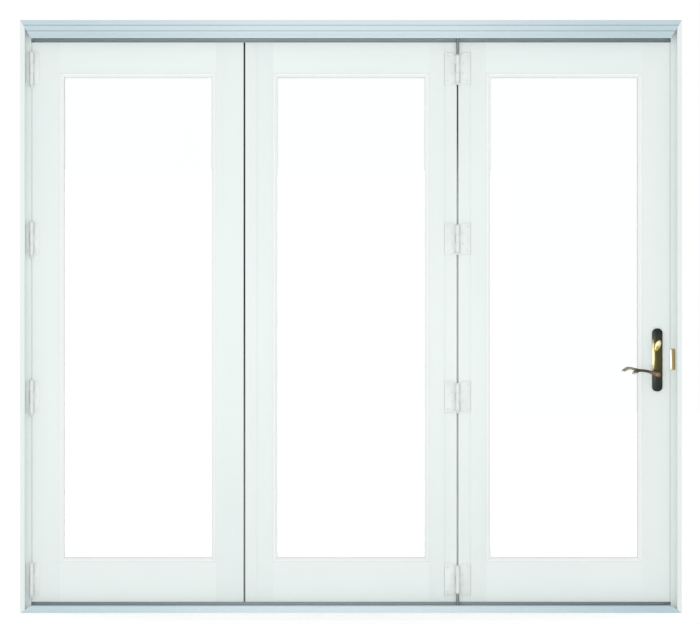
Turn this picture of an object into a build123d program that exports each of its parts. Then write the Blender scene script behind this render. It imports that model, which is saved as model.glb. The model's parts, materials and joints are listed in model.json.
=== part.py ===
from build123d import *
import os

# Bifold glass patio door with three leaves, seen from the room.
# X runs along the wall, Y from the room to the garden, Z up.
# The origin is the centre of the sill's underside.

# Whole unit
frame_width = 2350.0
frame_height = 2105.0
frame_depth = 116.0
panel_count = 3

# Frame members, as seen from the front
jamb_width = 38.0
jamb_nose = 18.0
head_height = 64.0
sill_height = 26.0
panel_setback = 34.0
nose_bevel = 3.0

# Running gaps round the leaves
edge_gap = 3.0
head_gap = 14.0
sill_gap = 12.0
joint_gap = 6.0

# Rear stop that the leaves close against
stop_overlap = 10.0
stop_gap = 3.0
dam_height = 17.0
dam_thickness = 12.0
sill_fall = 8.0

# Lines and bevel across the head's front face
head_line_width = 3.0
head_line_depth = 2.0
head_band = 17.0
head_bevel_rise = 12.0
head_bevel_depth = 5.0

# Top track and floor channel
track_width = 30.0
track_height = 34.0
track_wall = 2.5
track_slot = 13.0
channel_width = 18.0
channel_height = 16.0
channel_wall = 2.0

# Leaves
panel_thickness = 45.0
stile_width = 99.0
top_rail_width = 109.0
bottom_rail_width = 142.0
panel_bevel = 1.0
groove_inset = 42.0
groove_width = 4.0
groove_depth = 1.0

# Double glazing and its beads
pane_thickness = 4.0
pane_cavity = 16.0
pane_edge_gap = 3.0
spacer_width = 10.0
bead_width = 16.0
bead_proud = 1.5
bead_flat = 5.0
bead_lip = 3.5
mitre_gap = 0.2
seat_gap = 0.3

# Rubber seals
seal_width = 8.0
seal_base = 1.0
seal_crown = 4.0
joint_seal_depth = 10.0
joint_seal_setback = 14.0
edge_seal_setback = 1.0

# Butt hinges with a loose pin
hinge_from_foot = 79.5
hinge_from_top = 92.5
hinge_below_middle = 266.0
hinge_above_middle = 297.0
knuckle_radius = 7.5
knuckle_clear = 1.0
knuckle_count = 3
pin_radius = 4.0
pin_fit = 0.05
leaf_thickness = 3.0
leaf_corner = 4.0
plate_height = 112.0
narrow_reach = 27.0
jamb_reach = 21.0
wide_reach = 46.0
wide_barrel = 90.0
wide_slope = 9.0
barrel_sides = 12
cap_radius = 6.5
cap_height = 5.0
finial_height = 9.0
finial_taper = 25.0

# Top carrier and floor guide of the folding joint
carriage_length = 44.0
carriage_width = 10.0
carriage_height = 13.0
carriage_bevel = 3.0
roller_radius = 9.0
roller_width = 4.5
roller_spacing = 26.0
axle_radius = 2.5
pendant_radius = 5.0
guide_radius = 6.3
guide_lift = 2.0
guide_flange = 2.0

# Lock and handles on the access leaf
backset = 45.0
escutcheon_length = 224.0
escutcheon_width = 37.0
escutcheon_corner = 16.0
escutcheon_thickness = 6.5
escutcheon_bevel = 2.5
field_inset = 5.5
field_rise = 1.5
escutcheon_height = 898.0
turn_rise = 50.0
lever_drop = 52.0
shank_radius = 8.0
hub_radius = 11.0
hub_length = 12.0
neck_radius = 6.0
grip_reach = 42.0
grip_thickness = 9.0
spindle_size = 8.0
spindle_fit = 0.05
socket_depth = 10.0
socket_room = 1.0
cross_hole_radius = 9.0
rose_radius = 12.0
rose_height = 3.0
turn_neck_radius = 5.0
turn_neck_length = 6.0
turn_width = 21.0
turn_length = 44.0
turn_thickness = 6.0
turn_bevel = 1.5
turn_tilt = 27.0
cylinder_radius = 8.6
cylinder_proud = 2.5
key_slot_width = 2.0
key_slot_length = 9.0
key_slot_depth = 6.0
case_thickness = 15.0
case_depth = 72.0
case_height = 160.0
faceplate_width = 20.0
faceplate_thickness = 3.0
faceplate_length = 200.0
latch_width = 12.0
latch_height = 18.0
latch_throw = 11.0
latch_flat = 4.0
latch_nose = 3.0

# Strike on the right jamb
strike_length = 76.0
strike_thickness = 2.0
strike_front = 16.0
strike_depth = 30.0
strike_rise = 2.0
strike_hole_clear = 1.5
strike_pocket = 14.0

# Wall anchor holes through the jambs
anchor_from_foot = 250.0
anchor_from_top = 235.0
anchor_pitch = 540.0
anchor_radius = 4.0
anchor_setback = 18.0

# Planes and edges worked out from the sizes above
front = -frame_depth / 2
back = frame_depth / 2
outer = frame_width / 2
opening = outer - jamb_width
opening_top = frame_height - head_height
panel_front = front + panel_setback
panel_back = panel_front + panel_thickness
panel_middle = (panel_front + panel_back) / 2
panel_bottom = sill_height + sill_gap
panel_top = opening_top - head_gap
panel_width = (2 * (opening - edge_gap) - (panel_count - 1) * joint_gap) / panel_count
stop_front = panel_back + stop_gap
stop_reach = edge_gap + stop_overlap
stop_clear = opening - stop_reach
knuckle_standoff = knuckle_radius + knuckle_clear
track_line = panel_front - knuckle_standoff
turn_height = escutcheon_height + turn_rise
lever_height = escutcheon_height - lever_drop
strike_height = escutcheon_height + strike_rise
panel_centre = (panel_bottom + panel_top) / 2
hinge_heights = (
    panel_bottom + hinge_from_foot,
    panel_centre - hinge_below_middle,
    panel_centre + hinge_above_middle,
    panel_top - hinge_from_top,
)
past = 5.0

os.makedirs("parts", exist_ok=True)


def save(piece, name):
    piece.label = name
    export_step(piece, f"parts/{name}.step")


def plan(points, height):
    """A closed outline seen from above, at one height."""
    with BuildSketch(Plane.XY.offset(height)) as drawing:
        with BuildLine():
            Polyline(*points, close=True)
        make_face()
    return drawing.sketch


def section(points, x):
    """A closed outline across the wall, in Y and Z, at one X."""
    with BuildSketch(Plane.YZ.offset(x)) as drawing:
        with BuildLine():
            Polyline(*points, close=True)
        make_face()
    return drawing.sketch


def elevation(points, y):
    """A closed outline seen from the room, in X and Z, at one Y."""
    with BuildSketch(Plane.XZ.offset(-y)) as drawing:
        with BuildLine():
            Polyline(*points, close=True)
        make_face()
    return drawing.sketch


def rectangle(low_a, low_b, high_a, high_b):
    return [(low_a, low_b), (high_a, low_b), (high_a, high_b), (low_a, high_b)]


def panel_left(number):
    return -opening + edge_gap + (number - 1) * (panel_width + joint_gap)


def joint_middle(number):
    """X of the gap between a leaf and the next one."""
    return panel_left(number) + panel_width + joint_gap / 2


# Head: a deep bar with a lined face, a slot for the track and a rear stop
line_top = frame_height - head_band
second_top = line_top - head_line_width - head_band
bevel_top = opening_top + head_bevel_rise + past
with BuildPart() as head_frame:
    head_outline = [
        (front, frame_height),
        (front, line_top),
        (front + head_line_depth, line_top - head_line_width / 2),
        (front, line_top - head_line_width),
        (front, second_top),
        (front + head_line_depth, second_top - head_line_width / 2),
        (front, second_top - head_line_width),
        (front, bevel_top),
        (front + head_bevel_depth, bevel_top - head_bevel_rise),
        (front + head_bevel_depth, opening_top),
        (back, opening_top),
        (back, frame_height),
    ]
    extrude(section(head_outline, -outer), amount=frame_width)
    head_stop = rectangle(stop_front, panel_top - stop_overlap, back, opening_top)
    extrude(section(head_stop, -stop_clear), amount=2 * stop_clear)
    track_half = track_width / 2
    track_cut = rectangle(
        track_line - track_half, opening_top, track_line + track_half, opening_top + track_height
    )
    extrude(section(track_cut, -outer), amount=frame_width, mode=Mode.SUBTRACT)
    for side in (-1, 1):
        mitre = [
            (side * outer, frame_height),
            (side * opening, opening_top),
            (side * opening, opening_top - past),
            (side * outer, opening_top - past),
        ]
        extrude(elevation(mitre, back), amount=frame_depth, mode=Mode.SUBTRACT)
save(head_frame.part, "head_frame")


# Aluminium track let into the head, open below through its slot
with BuildPart() as head_track:
    with BuildSketch(Plane.YZ.offset(-opening)):
        with Locations((track_line, opening_top + track_height / 2)):
            Rectangle(track_width, track_height)
            Rectangle(track_width - 2 * track_wall, track_height - 2 * track_wall, mode=Mode.SUBTRACT)
        with Locations((track_line, opening_top + track_wall / 2)):
            Rectangle(track_slot, track_wall, mode=Mode.SUBTRACT)
    extrude(amount=2 * opening)
save(head_track.part, "head_track")


def jamb_outline(side):
    """Plan of a jamb: a raised nose, the step that the hinges lie on, and the rear stop."""
    return [
        (side * outer, front),
        (side * (outer - jamb_nose + nose_bevel), front),
        (side * (outer - jamb_nose), front + nose_bevel),
        (side * (outer - jamb_nose), panel_front),
        (side * opening, panel_front),
        (side * opening, stop_front),
        (side * stop_clear, stop_front),
        (side * stop_clear, back),
        (side * outer, back),
    ]


def jamb_ends(side):
    """Waste above the top mitre and below the foot mitre of a jamb."""
    above = [
        (side * outer, frame_height),
        (side * opening, opening_top),
        (side * (stop_clear - past), opening_top),
        (side * (stop_clear - past), frame_height + past),
        (side * outer, frame_height + past),
    ]
    below = [
        (side * outer, 0),
        (side * opening, sill_height),
        (side * (stop_clear - past), sill_height),
        (side * (stop_clear - past), -past),
        (side * outer, -past),
    ]
    return above, below


def anchor_spots():
    """Two holes near the foot of a jamb and two near its top, on one line."""
    lowest = anchor_from_foot
    highest = frame_height - anchor_from_top
    heights = (lowest, lowest + anchor_pitch, highest - anchor_pitch, highest)
    return [(back - anchor_setback, height) for height in heights]


with BuildPart() as left_jamb:
    extrude(plan(jamb_outline(-1), 0), amount=frame_height)
    for waste in jamb_ends(-1):
        extrude(elevation(waste, back), amount=frame_depth, mode=Mode.SUBTRACT)
    with BuildSketch(Plane.YZ.offset(-outer)):
        with Locations(*anchor_spots()):
            Circle(anchor_radius)
    extrude(amount=jamb_width + stop_reach, mode=Mode.SUBTRACT)
save(left_jamb.part, "left_jamb")

latch_hole_width = latch_width + 2 * strike_hole_clear
latch_hole_height = latch_height + 2 * strike_hole_clear
strike_back = panel_front + strike_depth
with BuildPart() as right_jamb:
    extrude(plan(jamb_outline(1), 0), amount=frame_height)
    for waste in jamb_ends(1):
        extrude(elevation(waste, back), amount=frame_depth, mode=Mode.SUBTRACT)
    with BuildSketch(Plane.YZ.offset(stop_clear)):
        with Locations(*anchor_spots()):
            Circle(anchor_radius)
    extrude(amount=jamb_width + stop_reach, mode=Mode.SUBTRACT)
    strike_bed = rectangle(
        panel_front, strike_height - strike_length / 2, strike_back, strike_height + strike_length / 2
    )
    extrude(section(strike_bed, opening), amount=strike_thickness, mode=Mode.SUBTRACT)
    with BuildSketch(Plane.YZ.offset(opening)):
        with Locations((panel_middle, strike_height)):
            Rectangle(latch_hole_width, latch_hole_height)
    extrude(amount=strike_pocket, mode=Mode.SUBTRACT)
save(right_jamb.part, "right_jamb")


# Sill: a flat bar with a floor channel, a weather dam and a fall to the garden
dam_top = sill_height + dam_height
with BuildPart() as sill:
    sill_outline = [
        (front, 0),
        (front, sill_height - nose_bevel),
        (front + nose_bevel, sill_height),
        (back, sill_height),
        (back, 0),
    ]
    extrude(section(sill_outline, -outer), amount=frame_width)
    dam_outline = [
        (stop_front, sill_height),
        (stop_front, dam_top),
        (stop_front + dam_thickness / 2, dam_top),
        (stop_front + dam_thickness, sill_height),
    ]
    extrude(section(dam_outline, -stop_clear), amount=2 * stop_clear)
    fall_cut = [
        (stop_front + dam_thickness, sill_height),
        (back, sill_height - sill_fall),
        (back, sill_height),
    ]
    extrude(section(fall_cut, -stop_clear), amount=2 * stop_clear, mode=Mode.SUBTRACT)
    channel_half = channel_width / 2
    channel_cut = rectangle(
        track_line - channel_half, sill_height - channel_height, track_line + channel_half, sill_height
    )
    extrude(section(channel_cut, -opening), amount=2 * opening, mode=Mode.SUBTRACT)
    for side in (-1, 1):
        mitre = [
            (side * outer, 0),
            (side * opening, sill_height),
            (side * opening, sill_height + past),
            (side * outer, sill_height + past),
        ]
        extrude(elevation(mitre, back), amount=frame_depth, mode=Mode.SUBTRACT)
save(sill.part, "sill")


# Aluminium floor channel
with BuildPart() as sill_track:
    with BuildSketch(Plane.YZ.offset(-opening)):
        with Locations((track_line, sill_height - channel_height / 2)):
            Rectangle(channel_width, channel_height)
        with Locations((track_line, sill_height - channel_height / 2 + channel_wall / 2)):
            Rectangle(channel_width - 2 * channel_wall, channel_height - channel_wall, mode=Mode.SUBTRACT)
    extrude(amount=2 * opening)
save(sill_track.part, "sill_track")


# Brass strike: a plate on the jamb's edge, folded round onto its front step
with BuildPart() as strike_plate:
    strike_outline = [
        (opening, panel_front - strike_thickness),
        (opening + strike_front, panel_front - strike_thickness),
        (opening + strike_front, panel_front),
        (opening + strike_thickness, panel_front),
        (opening + strike_thickness, strike_back),
        (opening, strike_back),
    ]
    extrude(plan(strike_outline, strike_height - strike_length / 2), amount=strike_length)
    with BuildSketch(Plane.YZ.offset(opening)):
        with Locations((panel_middle, strike_height)):
            Rectangle(latch_hole_width, latch_hole_height)
    extrude(amount=strike_thickness, mode=Mode.SUBTRACT)
save(strike_plate.part, "strike_plate")


def seal_outline(edge, away):
    """Plan of a compression seal on the rear stop: a flat base and a crown against the leaf."""
    shoulder = stop_front - seal_base
    crown = panel_back + seat_gap
    inset = (seal_width - seal_crown) / 2
    return [
        (edge, stop_front),
        (edge + away * seal_width, stop_front),
        (edge + away * seal_width, shoulder),
        (edge + away * (seal_width - inset), crown),
        (edge + away * inset, crown),
        (edge, shoulder),
    ]


# Rubber seals on the four faces of the rear stop
seal_margin = (stop_overlap - seal_width) / 2
seal_low = panel_bottom + seal_margin
seal_high = panel_top - seal_margin
with BuildPart() as frame_seals:
    for side in (-1, 1):
        outline = seal_outline(side * (stop_clear + seal_margin), side)
        extrude(plan(outline, seal_low), amount=seal_high - seal_low)
    for edge, away in ((seal_low, 1), (seal_high, -1)):
        outline = [(y, z) for z, y in seal_outline(edge, away)]
        extrude(section(outline, -stop_clear), amount=2 * stop_clear)


def seal_strips(gaps, setback):
    """Upright strips that fill gaps, given as middle and width, behind the room face."""
    with BuildPart() as strips:
        with BuildSketch(Plane.XY.offset(panel_bottom)):
            for middle, width in gaps:
                with Locations((middle, panel_front + setback + joint_seal_depth / 2)):
                    Rectangle(width - 2 * seat_gap, joint_seal_depth)
        extrude(amount=panel_top - panel_bottom)
    return strips.part


# A dark strip where two leaves fold to the garden, and white ones at the other gaps
jamb_gap_middle = opening - edge_gap / 2
jamb_gaps = [(-jamb_gap_middle, edge_gap), (jamb_gap_middle, edge_gap)]
dark_seal = seal_strips([(joint_middle(1), joint_gap)], joint_seal_setback)
pale_seal = seal_strips([(joint_middle(2), joint_gap)], joint_seal_setback)
jamb_seals = seal_strips(jamb_gaps, edge_seal_setback)
save(Compound(children=[*frame_seals.part.solids(), dark_seal.solid()]), "weather_seals")
save(Compound(children=[*jamb_seals.solids(), pale_seal.solid()]), "edge_seals")


# Bead section, in distance from the opening's edge and height over the glass
bead_height = (panel_thickness - 2 * pane_thickness - pane_cavity) / 2
bead_points = [
    (mitre_gap, seat_gap),
    (mitre_gap, bead_height),
    (mitre_gap + bead_proud, bead_height + bead_proud),
    (bead_flat, bead_height + bead_proud),
    (bead_width - bead_proud, bead_lip + bead_proud),
    (bead_width, bead_lip),
    (bead_width, seat_gap),
]


def glazing_box(number):
    """Left, right, bottom and top of the hole that the stiles and rails leave."""
    left = panel_left(number)
    return (
        left + stile_width,
        left + panel_width - stile_width,
        panel_bottom + bottom_rail_width,
        panel_top - top_rail_width,
    )


def front_depth(height):
    return panel_front + bead_height - height


def back_depth(height):
    return panel_back - bead_height + height


cut_front = panel_front - past
cut_back = panel_back + past


def make_beads(number, depth):
    """Four mitred beads round one pane, a hair apart at the mitres."""
    left, right, bottom, top = glazing_box(number)
    reach = bead_width + past
    with BuildPart() as side_beads:
        for edge, inward in ((left, 1), (right, -1)):
            outline = [(edge + inward * across, depth(height)) for across, height in bead_points]
            extrude(plan(outline, bottom), amount=top - bottom)
            for corner, up in ((bottom, 1), (top, -1)):
                waste = [
                    (edge, corner),
                    (edge, corner + up * mitre_gap),
                    (edge + inward * reach, corner + up * (reach + mitre_gap)),
                    (edge + inward * reach, corner),
                ]
                extrude(elevation(waste, cut_back), amount=cut_back - cut_front, mode=Mode.SUBTRACT)
    with BuildPart() as rail_beads:
        for edge, inward in ((bottom, 1), (top, -1)):
            outline = [(depth(height), edge + inward * across) for across, height in bead_points]
            extrude(section(outline, left), amount=right - left)
            for corner, along in ((left, 1), (right, -1)):
                waste = [
                    (corner, edge),
                    (corner + along * mitre_gap, edge),
                    (corner + along * (reach + mitre_gap), edge + inward * reach),
                    (corner, edge + inward * reach),
                ]
                extrude(elevation(waste, cut_back), amount=cut_back - cut_front, mode=Mode.SUBTRACT)
    return Compound(children=[*side_beads.part.solids(), *rail_beads.part.solids()])


def groove(middle_x):
    """Plan of a shallow groove in the room face of a stile."""
    half = groove_width / 2
    corners = rectangle(middle_x - half, panel_front, middle_x + half, panel_front + groove_depth)
    return plan(corners, panel_bottom)


for number in range(1, panel_count + 1):
    left = panel_left(number)
    right = left + panel_width
    hole_left, hole_right, hole_bottom, hole_top = glazing_box(number)

    with BuildPart() as left_stile:
        with BuildSketch(Plane.XY.offset(panel_bottom)):
            with Locations((left + stile_width / 2, panel_middle)):
                Rectangle(stile_width, panel_thickness)
        extrude(amount=panel_top - panel_bottom)
        outer_edges = left_stile.edges().filter_by(Axis.Z).group_by(Axis.X)[0]
        chamfer(outer_edges, length=panel_bevel)
        if number > 1:
            extrude(groove(left + groove_inset), amount=panel_top - panel_bottom, mode=Mode.SUBTRACT)
    save(left_stile.part, f"panel_{number}_left_stile")

    with BuildPart() as right_stile:
        with BuildSketch(Plane.XY.offset(panel_bottom)):
            with Locations((right - stile_width / 2, panel_middle)):
                Rectangle(stile_width, panel_thickness)
        extrude(amount=panel_top - panel_bottom)
        outer_edges = right_stile.edges().filter_by(Axis.Z).group_by(Axis.X)[-1]
        chamfer(outer_edges, length=panel_bevel)
        if 1 < number < panel_count:
            extrude(groove(right - groove_inset), amount=panel_top - panel_bottom, mode=Mode.SUBTRACT)
        if number == panel_count:
            with BuildSketch(Plane.YZ.offset(right)):
                with Locations((panel_middle, escutcheon_height)):
                    Rectangle(faceplate_width + 2 * seat_gap, faceplate_length + 2 * seat_gap)
            extrude(amount=-faceplate_thickness - seat_gap, mode=Mode.SUBTRACT)
            with BuildSketch(Plane.YZ.offset(right)):
                with Locations((panel_middle, escutcheon_height)):
                    Rectangle(case_thickness + 2 * seat_gap, case_height + 2 * seat_gap)
            extrude(amount=-faceplate_thickness - case_depth - seat_gap, mode=Mode.SUBTRACT)
            with BuildSketch(Plane.XZ.offset(-panel_back)):
                with Locations((right - backset, turn_height), (right - backset, lever_height)):
                    Circle(cross_hole_radius)
            extrude(amount=panel_thickness, mode=Mode.SUBTRACT)
    save(right_stile.part, f"panel_{number}_right_stile")

    with BuildPart() as top_rail:
        with BuildSketch(Plane.XY.offset(hole_top)):
            with Locations(((hole_left + hole_right) / 2, panel_middle)):
                Rectangle(hole_right - hole_left, panel_thickness)
        extrude(amount=top_rail_width)
    save(top_rail.part, f"panel_{number}_top_rail")

    with BuildPart() as bottom_rail:
        with BuildSketch(Plane.XY.offset(panel_bottom)):
            with Locations(((hole_left + hole_right) / 2, panel_middle)):
                Rectangle(hole_right - hole_left, panel_thickness)
        extrude(amount=bottom_rail_width)
    save(bottom_rail.part, f"panel_{number}_bottom_rail")

    with BuildPart() as glass:
        with BuildSketch(Plane.XY.offset(hole_bottom + pane_edge_gap)):
            for side in (-1, 1):
                pane_middle = panel_middle + side * (pane_cavity + pane_thickness) / 2
                with Locations(((hole_left + hole_right) / 2, pane_middle)):
                    Rectangle(hole_right - hole_left - 2 * pane_edge_gap, pane_thickness)
        extrude(amount=hole_top - hole_bottom - 2 * pane_edge_gap)
    save(glass.part, f"panel_{number}_glass")

    save(make_beads(number, front_depth), f"panel_{number}_front_beads")
    save(make_beads(number, back_depth), f"panel_{number}_back_beads")


# Spacer bars between the panes, two uprights and two cross bars in each leaf
with BuildPart() as glass_spacers:
    for number in range(1, panel_count + 1):
        hole_left, hole_right, hole_bottom, hole_top = glazing_box(number)
        inset = pane_edge_gap + seat_gap
        low_x = hole_left + inset
        high_x = hole_right - inset
        low_z = hole_bottom + inset
        high_z = hole_top - inset
        low_y = panel_middle - pane_cavity / 2
        high_y = panel_middle + pane_cavity / 2
        for edge in (low_x, high_x - spacer_width):
            bar = rectangle(edge, low_y, edge + spacer_width, high_y)
            extrude(plan(bar, low_z), amount=high_z - low_z)
        bar_left = low_x + spacer_width + seat_gap
        bar_right = high_x - spacer_width - seat_gap
        for edge in (low_z, high_z - spacer_width):
            bar = rectangle(bar_left, low_y, bar_right, high_y)
            extrude(plan(bar, edge), amount=spacer_width)
save(glass_spacers.part, "glass_spacers")


def plate_outline(axis_x, middle_z, side, reach, barrel):
    """Hinge plate beside the barrel; its inner corners slope away past a short barrel."""
    inner = knuckle_radius + knuckle_clear
    half = plate_height / 2
    slope = wide_slope if barrel < plate_height else 0
    near = [(inner, -barrel / 2), (inner, barrel / 2)]
    far = [(inner + slope, half), (reach, half), (reach, -half), (inner + slope, -half)]
    corners = near + far if slope else [(inner, -half), (inner, half), (reach, half), (reach, -half)]
    return [(axis_x + side * across, middle_z + up) for across, up in corners]


def make_leaf(axis_x, face_y, middle_z, side, facing, reach, barrel):
    """One hinge leaf with its own knuckles. facing is -1 on the room face, 1 on the garden face."""
    axis_y = face_y + facing * knuckle_standoff
    level = barrel / knuckle_count
    own = [i for i in range(knuckle_count) if (i % 2 == 0) == (side < 0)]
    with BuildPart() as leaf:
        extrude(elevation(plate_outline(axis_x, middle_z, side, reach, barrel), face_y),
                amount=-facing * leaf_thickness)
        far_edges = leaf.edges().filter_by(Axis.Y).group_by(Axis.X)[0 if side < 0 else -1]
        chamfer(far_edges, length=leaf_corner)
        for index in own:
            low = middle_z - barrel / 2 + index * level + seat_gap / 2
            high = low + level - seat_gap
            tongue = rectangle(axis_x, low, axis_x + side * (knuckle_standoff + knuckle_clear), high)
            extrude(elevation(tongue, face_y), amount=-facing * leaf_thickness)
            with BuildSketch(Plane.XY.offset(low)):
                with Locations((axis_x, axis_y)):
                    RegularPolygon(knuckle_radius, barrel_sides)
            extrude(amount=high - low)
            with BuildSketch(Plane.XY.offset(low)):
                with Locations((axis_x, axis_y)):
                    RegularPolygon(pin_radius + pin_fit, barrel_sides)
            extrude(amount=high - low, mode=Mode.SUBTRACT)
    return leaf.part


def make_pin(axis_x, face_y, middle_z, facing, barrel, finial):
    """Hinge pin with a button at each end and, where it hangs free, a pointed finial."""
    low = middle_z - barrel / 2
    high = middle_z + barrel / 2
    stages = [
        (pin_radius, low, barrel, 0),
        (cap_radius, high, cap_height, 0),
        (cap_radius, low, -cap_height, 0),
    ]
    if finial:
        stages.append((cap_radius, low - cap_height, -finial_height, finial_taper))
    with BuildPart() as pin:
        for radius, level, length, taper in stages:
            with BuildSketch(Plane.XY.offset(level)):
                with Locations((axis_x, face_y + facing * knuckle_standoff)):
                    RegularPolygon(radius, barrel_sides)
            extrude(amount=length, taper=taper)
    return pin.part


# Hinges: slim ones at the left jamb, wide ones where two leaves meet.
# Barrels and pins repeat many times, so they have few sides.
jamb_line = -opening + edge_gap / 2
hinge_sets = {
    "jamb_hinges": (jamb_line, panel_front, -1, jamb_reach, narrow_reach, plate_height),
    "back_hinges": (joint_middle(1), panel_back, 1, wide_reach, wide_reach, wide_barrel),
    "front_hinges": (joint_middle(2), panel_front, -1, wide_reach, wide_reach, wide_barrel),
}
pins = []
for name, (axis_x, face_y, facing, left_reach, right_reach, barrel) in hinge_sets.items():
    leaves = []
    for middle_z in hinge_heights:
        leaves.append(make_leaf(axis_x, face_y, middle_z, -1, facing, left_reach, barrel))
        leaves.append(make_leaf(axis_x, face_y, middle_z, 1, facing, right_reach, barrel))
        carried = name == "front_hinges" and middle_z == hinge_heights[0]
        pins.append(make_pin(axis_x, face_y, middle_z, facing, barrel, not carried))
    save(Compound(children=[leaf.solid() for leaf in leaves]), name)
save(Compound(children=[pin.solid() for pin in pins]), "hinge_pins")


# Carrier that hangs the folding joint from the top track
carrier_x = joint_middle(2)
roller_z = opening_top + track_wall + seat_gap + roller_radius
roller_y = track_slot / 2 + seat_gap + roller_width / 2
pendant_foot = hinge_heights[-1] + wide_barrel / 2 + cap_height
with BuildPart() as top_carrier:
    with BuildSketch(Plane.XY.offset(roller_z - carriage_height / 2)):
        with Locations((carrier_x, track_line)):
            Rectangle(carriage_length, carriage_width)
    extrude(amount=carriage_height)
    chamfer(top_carrier.edges().filter_by(Axis.Y), length=carriage_bevel)
    with BuildSketch(Plane.XZ.offset(-track_line)):
        with Locations((carrier_x, roller_z)):
            with GridLocations(roller_spacing, 0, 2, 1):
                Circle(axle_radius)
    extrude(amount=roller_y + roller_width / 2 + seat_gap, both=True)
    with BuildSketch(Plane.XY.offset(pendant_foot)):
        with Locations((carrier_x, track_line)):
            Circle(pendant_radius)
    extrude(amount=roller_z - pendant_foot)
save(top_carrier.part, "top_carrier")


# Guide under the same joint: a bolt from the hinge, with a flanged axle for its roller
guide_top = hinge_heights[0] - wide_barrel / 2 - cap_height
guide_foot = sill_height - channel_height + channel_wall + guide_lift
with BuildPart() as bottom_guide:
    with BuildSketch(Plane.XY.offset(sill_height)):
        with Locations((carrier_x, track_line)):
            Circle(pendant_radius)
    extrude(amount=guide_top - sill_height)
    with BuildSketch(Plane.XY.offset(guide_foot)):
        with Locations((carrier_x, track_line)):
            Circle(axle_radius)
    extrude(amount=sill_height - guide_foot)
    with BuildSketch(Plane.XY.offset(guide_foot)):
        with Locations((carrier_x, track_line)):
            Circle(pendant_radius)
    extrude(amount=guide_flange)
save(bottom_guide.part, "bottom_guide")


# Rollers: four upright ones in the track and a flat one in the floor channel
with BuildPart() as track_rollers:
    for side in (-1, 1):
        with BuildSketch(Plane.XZ.offset(-(track_line + side * roller_y))):
            with Locations((carrier_x, roller_z)):
                with GridLocations(roller_spacing, 0, 2, 1):
                    Circle(roller_radius)
                    Circle(axle_radius + pin_fit, mode=Mode.SUBTRACT)
        extrude(amount=roller_width / 2, both=True)
    with BuildSketch(Plane.XY.offset(guide_foot + guide_flange + seat_gap)):
        with Locations((carrier_x, track_line)):
            Circle(guide_radius)
            Circle(axle_radius + pin_fit, mode=Mode.SUBTRACT)
    extrude(amount=sill_height - guide_foot - guide_flange - 2 * seat_gap)
save(track_rollers.part, "track_rollers")


# Lock let into the edge of the access leaf
lock_edge = panel_left(panel_count) + panel_width
handle_x = lock_edge - backset
with BuildPart() as mortise_lock:
    with BuildSketch(Plane.YZ.offset(lock_edge)):
        with Locations((panel_middle, escutcheon_height)):
            Rectangle(faceplate_width, faceplate_length)
    extrude(amount=-faceplate_thickness)
    with BuildSketch(Plane.YZ.offset(lock_edge - faceplate_thickness)):
        with Locations((panel_middle, escutcheon_height)):
            Rectangle(case_thickness, case_height)
    extrude(amount=-case_depth)
    with BuildSketch(Plane.XZ.offset(-panel_back)):
        with Locations((handle_x, turn_height), (handle_x, lever_height)):
            Circle(cross_hole_radius)
    extrude(amount=panel_thickness, mode=Mode.SUBTRACT)
    latch_low = strike_height - latch_height / 2
    latch_end = lock_edge + edge_gap + latch_throw
    latch_front = panel_middle - latch_width / 2
    latch_back = panel_middle + latch_width / 2
    latch_outline = [
        (lock_edge, latch_front),
        (lock_edge + edge_gap + latch_flat, latch_front),
        (latch_end, latch_back - latch_nose),
        (latch_end, latch_back),
        (lock_edge, latch_back),
    ]
    extrude(plan(latch_outline, latch_low), amount=latch_height)
save(mortise_lock.part, "mortise_lock")


def make_escutcheon(face_y, facing, holes):
    """Long plate with round ends, a bevelled rim and a raised field, bored for its spindles."""
    with BuildPart() as plate:
        with BuildSketch(Plane.XZ.offset(-face_y)):
            with Locations((handle_x, escutcheon_height)):
                RectangleRounded(escutcheon_width, escutcheon_length, escutcheon_corner)
        extrude(amount=-facing * escutcheon_thickness)
        rim = plate.faces().sort_by(Axis.Y)[0 if facing < 0 else -1].edges()
        chamfer(rim, length=escutcheon_bevel)
        with BuildSketch(Plane.XZ.offset(-(face_y + facing * escutcheon_thickness))):
            with Locations((handle_x, escutcheon_height)):
                RectangleRounded(
                    escutcheon_width - 2 * field_inset,
                    escutcheon_length - 2 * field_inset,
                    escutcheon_corner - field_inset,
                )
        extrude(amount=-facing * field_rise)
        for height, radius in holes:
            with BuildSketch(Plane.XZ.offset(-face_y)):
                with Locations((handle_x, height)):
                    Circle(radius)
            extrude(amount=-facing * (escutcheon_thickness + field_rise), mode=Mode.SUBTRACT)
    return plate.part


shank_hole = shank_radius + pin_fit
front_escutcheon = make_escutcheon(
    panel_front, -1, ((turn_height, shank_hole), (lever_height, shank_hole))
)
save(front_escutcheon, "front_escutcheon")
back_escutcheon = make_escutcheon(
    panel_back, 1, ((turn_height, cylinder_radius + pin_fit), (lever_height, shank_hole))
)
save(back_escutcheon, "back_escutcheon")

# Outline of the lever's grip in X and Z, from the hub's centre towards the hinge side
grip_top = [(0, 9), (-22, 13), (-46, 18.5), (-62, 19), (-77, 23), (-92, 27), (-105, 25), (-116, 17)]
grip_tip = [(-116, 17), (-120, 12.5), (-115.5, 10.5)]
grip_hollow = [(-115.5, 10.5), (-109, 15.5), (-100, 19), (-91, 19.5), (-84.5, 15)]
spur_front = [(-84.5, 15), (-86, 8), (-83.5, 2)]
spur_tip = [(-83.5, 2), (-80, 0), (-77, 3)]
grip_under = [(-77, 3), (-71, 8), (-61, 10.5), (-46, 10.5), (-22, 3), (0, -9)]
grip_heel = [(0, -9), (9, 0), (0, 9)]
face_to_seat = escutcheon_thickness + field_rise


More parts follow.
